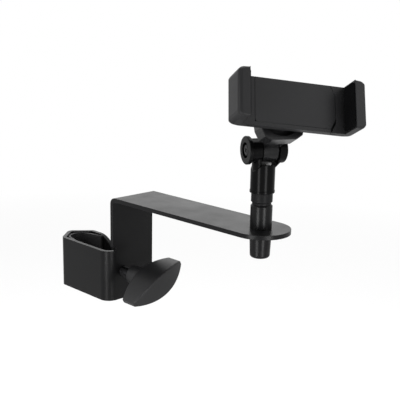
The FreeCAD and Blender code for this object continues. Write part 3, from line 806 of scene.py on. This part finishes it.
@dataclass(frozen=True)
class CrossScrew:
    """Screw with a rounded head and a cross recess, its head's seat at height zero.

    Attributes:
        head_radius: radius of the head.
        head_height: height of the head.
        crown: radius of the head's rounded rim.
        shank_radius: radius of the shank.
        shank_length: length under the head.
        recess: half the length of the recess's arms.
        arm: half the width of the arms.
        depth: depth of the recess.
        taper: share of the recess's width that is left at its tip.
    """

    head_radius: float
    head_height: float
    crown: float
    shank_radius: float
    shank_length: float
    recess: float
    arm: float
    depth: float
    taper: float = 0.5

    def profile(self) -> list[tuple[float, float]]:
        """Outside of the screw, from the head's top to the shank's end.

        Returns:
            Radius and height of each point.
        """
        rim = []
        for step in range(RIM_STEPS + 1):
            turn = math.pi / 2 * step / RIM_STEPS
            rim.append((
                self.head_radius - self.crown + self.crown * math.sin(turn),
                self.head_height - self.crown + self.crown * math.cos(turn),
            ))
        seat = [(self.head_radius, 0.0), (self.shank_radius, 0.0), (self.shank_radius, -self.shank_length)]
        return rim + seat

    def cutter(self) -> bmesh.types.BMesh:
        """Cross that narrows towards its tip, as the driver does.

        Returns:
            The solid that cuts the recess.
        """
        corner = [(self.arm, self.recess), (self.arm, self.arm), (self.recess, self.arm)]
        outline = []
        for _ in range(CROSS_ARMS):
            outline += corner
            corner = [(y, -x) for x, y in corner]
        top = [(x, y, self.head_height + self.depth) for x, y in outline]
        tip = [(self.taper * x, self.taper * y, self.head_height - self.depth) for x, y in outline]
        return loft([top, tip])

    def mesh(self) -> bpy.types.Mesh:
        """Screw with its recess cut.

        Returns:
            The mesh, its axis along Z and its head upwards.
        """
        plain = as_mesh("screw", lathe(self.profile()))
        return carved(plain, as_mesh("cross", self.cutter()), Cut.DIFFERENCE)


@dataclass
class HookArm:
    """Folded arm with the hook, its liner, the weld nut, the post and the cap nut.

    Attributes:
        bead_radius: radius of the weld bead round the nut.
        drop: radius of one drop of the bead.
        drops: number of drops.
        flatness: factor on the bead's height.
        seed: start of the drops' random sizes.
    """

    bead_radius: float = 7.6 * MM
    drop: float = 0.9 * MM
    drops: int = 44
    flatness: float = 0.6
    seed: int = 7

    def build(self) -> None:
        """Weld bead round the nut, on the inner face of the web."""
        values = {
            "Radius": self.bead_radius,
            "Drops": self.drops,
            "Drop": self.drop,
            "Seed": self.seed,
            "Material": DARK_STEEL.material(),
        }
        low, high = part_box("weld_nut")
        middle = (low + high) / 2
        place = axes(Vector((high.x, middle.y, middle.z)), Y_AXIS, X_AXIS)
        flat = Matrix.Diagonal((1.0, 1.0, self.flatness, 1.0))
        bead = grown(bead_tree(), values)
        piece("weld_bead", bead, place @ flat, "bracket_body", DARK_STEEL)

    def dress(self) -> None:
        """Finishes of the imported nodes."""
        dress("bracket", POWDER_COAT)
        dress("clamp_liner", LINER)
        dress("weld_nut", DARK_STEEL)
        dress("spigot", BLACK_METAL)
        dress("cap_nut", BLACK_METAL)


@dataclass
class ClampScrew:
    """Threaded screw with its foot and wing knob.

    Attributes:
        radius: outer radius of the thread.
        pitch: rise of one turn.
        ridge: height of the thread.
        bedded: share of that height at which the middle of the ridge's section lies.
        tip_radius: radius of the turned tip that carries the foot.
        thread_low: where the thread starts, along the screw.
        thread_high: where it ends, inside the knob's hub.
    """

    radius: float = 4.0 * MM
    pitch: float = 1.25 * MM
    ridge: float = 0.42 * MM
    bedded: float = 0.1
    tip_radius: float = 3.0 * MM
    thread_low: float = 17.5 * MM
    thread_high: float = 69.0 * MM

    def build(self) -> None:
        """Screw with a wound thread ridge in place of the plain shank."""
        low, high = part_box("clamp_screw")
        core = self.radius - self.ridge
        values = {
            "Radius": core + self.bedded * self.ridge,
            "Pitch": self.pitch,
            "Length": self.thread_high - self.thread_low,
            "Ridge": (1 - self.bedded) * self.ridge,
            "Material": THREAD.material(),
        }
        ridge = grown(thread_tree(), values)
        ridge.transform(Matrix.Translation((0, 0, self.thread_low)))
        shank = as_mesh("shank", lathe([
            (core, high.x),
            (core, self.thread_low),
            (self.tip_radius, self.thread_low),
            (self.tip_radius, low.x),
        ]))
        height = (low.z + high.z) / 2
        along = axes(Vector((0, 0, height)), Y_AXIS, X_AXIS)
        piece("screw_core", shank, along, "screw_body", DARK_STEEL, "clamp_screw")
        piece("screw_thread", ridge, along, "screw_body", THREAD)

    def dress(self) -> None:
        """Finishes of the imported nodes."""
        dress("pressure_foot", FOOT)
        dress("wing_knob", KNOB)


@dataclass
class ForkStem:
    """Collar, fork and the hinge screw between its ears.

    Attributes:
        seat: distance of the screw head's seat from the stem's axis.
        screw: the hinge screw.
    """

    seat: float = 10.0 * MM
    screw: CrossScrew = CrossScrew(
        head_radius=4.0 * MM,
        head_height=2.4 * MM,
        crown=1.2 * MM,
        shank_radius=2.0 * MM,
        shank_length=23.6 * MM,
        recess=2.3 * MM,
        arm=0.55 * MM,
        depth=1.3 * MM,
    )

    def build(self) -> None:
        """Hinge screw with its cross recess."""
        place = on_joint("tilt", self.seat, Way.PLUS)
        mesh = self.screw.mesh()
        piece("hinge_cross_screw", mesh, place, "fork_body", SCREW, "hinge_screw")

    def dress(self) -> None:
        """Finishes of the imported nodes."""
        dress("thread_insert", COLLAR)
        dress("fork_stem", STEM)
        dress("hinge_nut", SCREW)
        dress("hinge_washers", WASHER)


@dataclass
class TiltHead:
    """Faceted head with the swivel disc and its screw.

    Attributes:
        seat: place of the screw head's seat along the swivel's axis.
        screw: the swivel screw.
    """

    seat: float = -5.85 * MM
    screw: CrossScrew = CrossScrew(
        head_radius=3.8 * MM,
        head_height=2.4 * MM,
        crown=1.2 * MM,
        shank_radius=2.0 * MM,
        shank_length=10.35 * MM,
        recess=2.2 * MM,
        arm=0.55 * MM,
        depth=1.3 * MM,
    )

    def build(self) -> None:
        """Swivel screw with its cross recess."""
        place = on_joint("clip_spin", self.seat, Way.MINUS)
        mesh = self.screw.mesh()
        piece("swivel_cross_screw", mesh, place, "clip_body", SCREW, "swivel_screw")

    def dress(self) -> None:
        """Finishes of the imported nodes."""
        dress("tilt_head", HEAD)
        dress("swivel_disc", HEAD)
        dress("swivel_washer", SPRING)


@dataclass
class PhoneClip:
    """Clip with its fixed and sliding jaws, panel, pads, springs and screws.

    Places are in the clip's frame: X along the opening, Y up and Z out of the panel's face.

    Attributes:
        coil_radius: radius of the springs' coil at the wire's centre.
        coil_wire: radius of the wire.
        coil_pitch: rise of one turn.
        coil_ends: where the coil starts and ends along the opening.
        coil_rise: distance of the springs from the middle.
        coil_depth: depth of the springs behind the panel's face.
        post: place of the fixed posts along the opening.
        eye_radius: radius of the eye round a post.
        eye_gap: half the angle of the eye's opening.
        screws_along: places of the panel screws along the opening.
        screws_across: their places across it.
        screw_seat: depth of the screw heads' seats.
        screw: the panel screw.
        face: distance of the jaws' gripping faces from the middle.
        outer: distance of their outer faces.
        half_height: half the clip's height.
        back: depth of the clip's back.
        front: reach of the jaws.
        jaw_round: radius along the top and bottom of a jaw's outer face.
        back_corners: radii of a jaw's back corners, at its outer and gripping faces.
        front_corners: radii of its front corners, at its outer and gripping faces.
        clear: distance that keeps the rounding outline off the flat faces.
        far: reach of that outline beyond the clip.
        far_corner: radius of its corners there.
        flat_area: area from which a face of the jaws is shaded flat.
    """

    coil_radius: float = 1.25 * MM
    coil_wire: float = 0.24 * MM
    coil_pitch: float = 0.62 * MM
    coil_ends: tuple[float, float] = (-10.4 * MM, 21.0 * MM)
    coil_rise: float = 6.0 * MM
    coil_depth: float = -3.65 * MM
    post: float = -13.7 * MM
    eye_radius: float = 1.2 * MM
    eye_gap: float = 0.35
    screws_along: tuple[float, float] = (-13.0 * MM, 18.0 * MM)
    screws_across: tuple[float, float] = (-11.2 * MM, 11.2 * MM)
    screw_seat: float = -6.6 * MM
    screw: CrossScrew = CrossScrew(
        head_radius=1.7 * MM,
        head_height=1.2 * MM,
        crown=0.5 * MM,
        shank_radius=1.1 * MM,
        shank_length=5.6 * MM,
        recess=1.0 * MM,
        arm=0.26 * MM,
        depth=0.7 * MM,
    )
    face: float = 33.6 * MM
    outer: float = 40.8 * MM
    half_height: float = 15.0 * MM
    back: float = -8.6 * MM
    front: float = 14.7 * MM
    jaw_round: float = 3.8 * MM
    back_corners: tuple[float, float] = (7.5 * MM, 4.6 * MM)
    front_corners: tuple[float, float] = (3.0 * MM, 1.4 * MM)
    clear: float = 0.05 * MM
    far: float = 60.0 * MM
    far_corner: float = 1.0 * MM
    flat_area: float = 14.0 * MM * MM

    def place(self) -> Matrix:
        """The clip's frame in the row."""
        origin = Vector(mount("phone_rest")["pos_m"])
        return axes(origin, Vector(joint("jaw_slide")["axis"]), Vector(joint("clip_spin")["axis"]))

    def spring_path(self) -> bpy.types.Mesh:
        """Chain of edges along a spring's wire: an eye, a straight link and the coil.

        Returns:
            The chain, in the spring's own frame.
        """
        points = []
        for step in range(EYE_STEPS):
            turn = self.eye_gap + (2 * math.pi - 2 * self.eye_gap) * step / (EYE_STEPS - 1)
            x = self.post + self.eye_radius * math.cos(turn)
            points.append((x, self.eye_radius * math.sin(turn), 0.0))
        start, end = self.coil_ends
        count = round((end - start) / self.coil_pitch * COIL_STEPS)
        for step in range(count + 1):
            turn = 2 * math.pi * step / COIL_STEPS - math.pi / 2
            points.append((
                start + (end - start) * step / count,
                self.coil_radius * math.sin(turn),
                self.coil_radius * math.cos(turn),
            ))
        mesh = bpy.data.meshes.new("spring_path")
        mesh.from_pydata(points, [(step, step + 1) for step in range(len(points) - 1)], [])
        return mesh

    def outline(self, inset: float, back_corner: float, front_corner: float) -> list[tuple[float, float]]:
        """Side outline of a jaw, as height and depth.

        Args:
            inset: how far its top and bottom lie inside the clip's height.
            back_corner: radius of its back corners.
            front_corner: radius of its front corners.

        Returns:
            The outline's points in order.
        """
        half = self.half_height + self.clear - inset
        low, high = self.back - self.clear, self.front + self.clear
        points = []
        for quarter, radius in enumerate((front_corner, front_corner, back_corner, back_corner)):
            y = (half - radius) * (1 if quarter in (0, 3) else -1)
            z = high - radius if quarter < 2 else low + radius
            for step in range(CORNER_STEPS + 1):
                turn = math.pi / 2 * (quarter + step / CORNER_STEPS)
                points.append((y + radius * math.cos(turn), z + radius * math.sin(turn)))
        return points

    def rounding(self, side: Way) -> bpy.types.Mesh:
        """Outline that rounds one jaw and holds the rest of the clip whole.

        Args:
            side: where the jaw lies along the opening.

        Returns:
            The outline as a closed mesh in the clip's frame.
        """
        thickness = self.outer - self.face
        rings = []
        for step in range(JAW_STEPS + 1):
            share = step / JAW_STEPS
            depth = share * thickness
            short = max(0.0, self.jaw_round - depth)
            inset = self.jaw_round - math.sqrt(self.jaw_round**2 - short**2)
            corners = [
                start + (end - start) * share for start, end in (self.back_corners, self.front_corners)
            ]
            x = side.value * (self.outer + self.clear - depth)
            rings.append([(x, y, z) for y, z in self.outline(inset, *corners)])
        wide = [
            (y + math.copysign(self.far, y), z + math.copysign(self.far, z))
            for y, z in self.outline(0.0, self.far_corner, self.far_corner)
        ]
        for x in (self.face - self.clear, -self.far):
            rings.append([(side.value * x, y, z) for y, z in wide])
        return as_mesh("rounding", loft(rings))

    def jaws(self) -> None:
        """Frame and slider with the outer corners of their jaws rounded off."""
        for node, side, body in (
            ("clip_frame", Way.MINUS, "clip_body"),
            ("clip_slider", Way.PLUS, "slider_body"),
        ):
            outline = self.rounding(side)
            outline.transform(self.place())
            solid = welded(frame["nodes"][node].data.copy())
            soft = welded(carved(solid, outline, Cut.COMMON))
            made = piece("rounded_" + node, soft, Matrix.Identity(4), body, CLIP, node)
            for face in made.data.polygons:
                face.use_smooth = face.area < self.flat_area

    def springs(self) -> None:
        """Wound springs in place of the plain tubes."""
        tree = wire_tree()
        for name, side in (("upper_spring", Way.PLUS), ("lower_spring", Way.MINUS)):
            values = {"Wire": self.coil_wire, "Material": SPRING.material()}
            wound = grown(tree, values, self.spring_path())
            rise = side.value * self.coil_rise
            place = self.place() @ Matrix.Translation((0, rise, self.coil_depth))
            piece("wound_" + name, wound, place, "clip_body", SPRING, name)

    def panel_screws(self) -> None:
        """Cross-head screws in the back shell."""
        pattern = in_scene("panel_screw", self.screw.mesh())
        points = [(x, y, self.screw_seat) for x in self.screws_along for y in self.screws_across]
        places = bpy.data.meshes.new("screw_places")
        places.from_pydata(points, [], [])
        values = {"Fastener": pattern, "Material": DARK_STEEL.material()}
        screws = grown(fastener_tree(), values, places)
        bpy.data.objects.remove(pattern)
        place = self.place()
        piece("panel_cross_screws", screws, place, "clip_body", DARK_STEEL, "panel_screws")

    def build(self) -> None:
        """Jaws, springs and screws."""
        self.jaws()
        self.springs()
        self.panel_screws()

    def dress(self) -> None:
        """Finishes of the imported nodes."""
        dress("front_panel", CLIP)
        # The pads' darker rubber black is partly painted shade on the jaws' inner faces.
        dress("left_pad", RUBBER_WITH_PAINTED_SHADE)
        dress("right_pad", RUBBER_WITH_PAINTED_SHADE)


@dataclass(frozen=True)
class Lamp:
    """Soft rectangular lamp.

    Attributes:
        name: the lamp's name.
        place: where it hangs.
        aim: the point that it faces.
        size: its width and height.
        power: its power in watts.
    """

    name: str
    place: tuple[float, float, float]
    aim: tuple[float, float, float]
    size: tuple[float, float]
    power: float

    def build(self) -> None:
        """Hang the lamp."""
        data = bpy.data.lights.new(self.name, "AREA")
        data.shape = "RECTANGLE"
        data.size, data.size_y = self.size
        data.energy = self.power
        made = in_scene(self.name, data)
        made.location = self.place
        made.rotation_euler = (Vector(self.aim) - Vector(self.place)).to_track_quat("-Z", "Y").to_euler()
        LOG.info("%s: %.2f W", self.name, self.power)


# Point near the holder's middle that the lamps face
MIDDLE = (0.11, 0.0, 0.07)
LAMPS = (
    Lamp("top_lamp", (0.0, 0.25, 1.1), MIDDLE, (0.8, 0.8), 8.2),
    Lamp("left_lamp", (-0.4, -0.9, 0.45), MIDDLE, (0.3, 0.7), 5.0),
    Lamp("right_lamp", (0.95, 0.25, 0.45), MIDDLE, (0.25, 0.7), 4.0),
    Lamp("back_lamp", (-0.88, 1.11, 0.5), MIDDLE, (1.2, 0.5), 1.9),
    Lamp("left_strip", (0.231, -0.438, -0.03), MIDDLE, (0.13, 0.24), 1.4),
    Lamp("right_strip", (0.612, -0.13, -0.03), MIDDLE, (0.13, 0.24), 1.4),
)


@dataclass
class Studio:
    """White room with soft lamps and the camera of the photograph.

    Attributes:
        lamps: the lamps.
        floor_height: height of the floor, well below the hook.
        floor_size: side of the floor.
        floor_glow: share of plain white in the floor beside the object.
        floor_near: distance at which the floor starts to turn plain white.
        floor_fade: width of that change.
        floor_tone: grey of the floor's paint.
        world_light: strength of the surroundings as light on the object.
        camera_place: camera position in the row.
        camera_turn: camera angles in degrees, applied in the order Z, X, Z.
        lens: focal length in millimetres.
        sensor: width of the sensor in millimetres.
        nearest: distance from which the camera sees.
    """

    lamps: tuple[Lamp, ...] = LAMPS
    floor_height: float = -0.165
    floor_size: float = 60.0
    floor_glow: float = 0.5
    floor_near: float = 0.3
    floor_fade: float = 0.7
    floor_tone: float = 0.9
    world_light: float = 0.4
    camera_place: tuple[float, float, float] = (0.5072, -0.3744, 0.1976)
    camera_turn: tuple[float, float, float] = (44.70, 76.758, 1.126)
    lens: float = 70.86
    sensor: float = 36.0
    nearest: float = 0.01

    def camera(self) -> None:
        """Camera at the photograph's viewing angle."""
        data = bpy.data.cameras.new("camera")
        data.sensor_width = self.sensor
        data.lens = self.lens
        data.clip_start = self.nearest
        made = in_scene("camera", data)
        swing, tilt, roll = (
            Matrix.Rotation(math.radians(angle), 4, axis) for angle, axis in zip(self.camera_turn, "ZXZ")
        )
        turn = swing @ tilt @ roll
        made.matrix_world = Matrix.Translation(self.camera_place) @ turn
        bpy.context.scene.camera = made

    def seen(self, graph: Graph) -> Wire:
        """Tell rays that show the surroundings from rays that light the object.

        Args:
            graph: the graph of the surroundings or of the floor.

        Returns:
            1 for rays that show the surroundings, 0 for the others.
        """
        paths = graph.node("ShaderNodeLightPath", {}, {})
        total = graph.wire(paths, Ray.CAMERA.value)
        for ray in (Ray.GLOSSY, Ray.TRANSMISSION):
            total = total.highest(graph.wire(paths, ray.value))
        return total

    def world(self) -> None:
        """White surroundings that light the object softly."""
        made = bpy.data.worlds.new("white_room")
        made.use_nodes = True
        bpy.context.scene.world = made
        graph = Graph(made.node_tree)
        strength = self.world_light + (1.0 - self.world_light) * self.seen(graph)
        sky = graph.value("ShaderNodeBackground", {}, {"Color": WHITE, "Strength": strength})
        graph.node("ShaderNodeOutputWorld", {}, {"Surface": sky})

    def floor(self) -> None:
        """Pale floor that keeps a faint shadow."""
        mesh = bpy.data.meshes.new("floor")
        half = self.floor_size / 2
        corners = [(-half, -half), (half, -half), (half, half), (-half, half)]
        mesh.from_pydata([(x, y, self.floor_height) for x, y in corners], [], [(0, 1, 2, 3)])
        made = in_scene("floor", mesh)
        paint = bpy.data.materials.new("pale_floor")
        paint.use_nodes = True
        graph = Graph(paint.node_tree)
        reach = graph.value("ShaderNodeVectorMath", {"operation": "LENGTH"}, {0: graph.place()}, "Value")
        far = ((reach - self.floor_near) / self.floor_fade).highest(0.0).lowest(1.0)
        share = self.floor_glow + (1.0 - self.floor_glow) * far
        tone = self.floor_tone
        matt = graph.value("ShaderNodeBsdfDiffuse", {}, {"Color": (tone, tone, tone, 1.0)})
        glow = graph.value("ShaderNodeEmission", {}, {"Color": WHITE, "Strength": 1.0})
        mixed = graph.value("ShaderNodeMixShader", {}, {"Fac": share * self.seen(graph), 1: matt, 2: glow})
        graph.node("ShaderNodeOutputMaterial", {}, {"Surface": mixed})
        mesh.materials.append(paint)

    def build(self) -> None:
        """Camera, surroundings, floor and lamps."""
        bpy.context.scene.view_settings.view_transform = "Standard"
        self.camera()
        self.world()
        self.floor()
        for lamp in self.lamps:
            lamp.build()


def main() -> None:
    """Build every sub-assembly, then the studio, and log what is made."""
    logging.basicConfig(level=logging.INFO, format="%(message)s")
    for assembly in (HookArm(), ClampScrew(), ForkStem(), TiltHead(), PhoneClip()):
        assembly.build()
        assembly.dress()
    Studio().build()


if __name__ == "__main__":
    main()
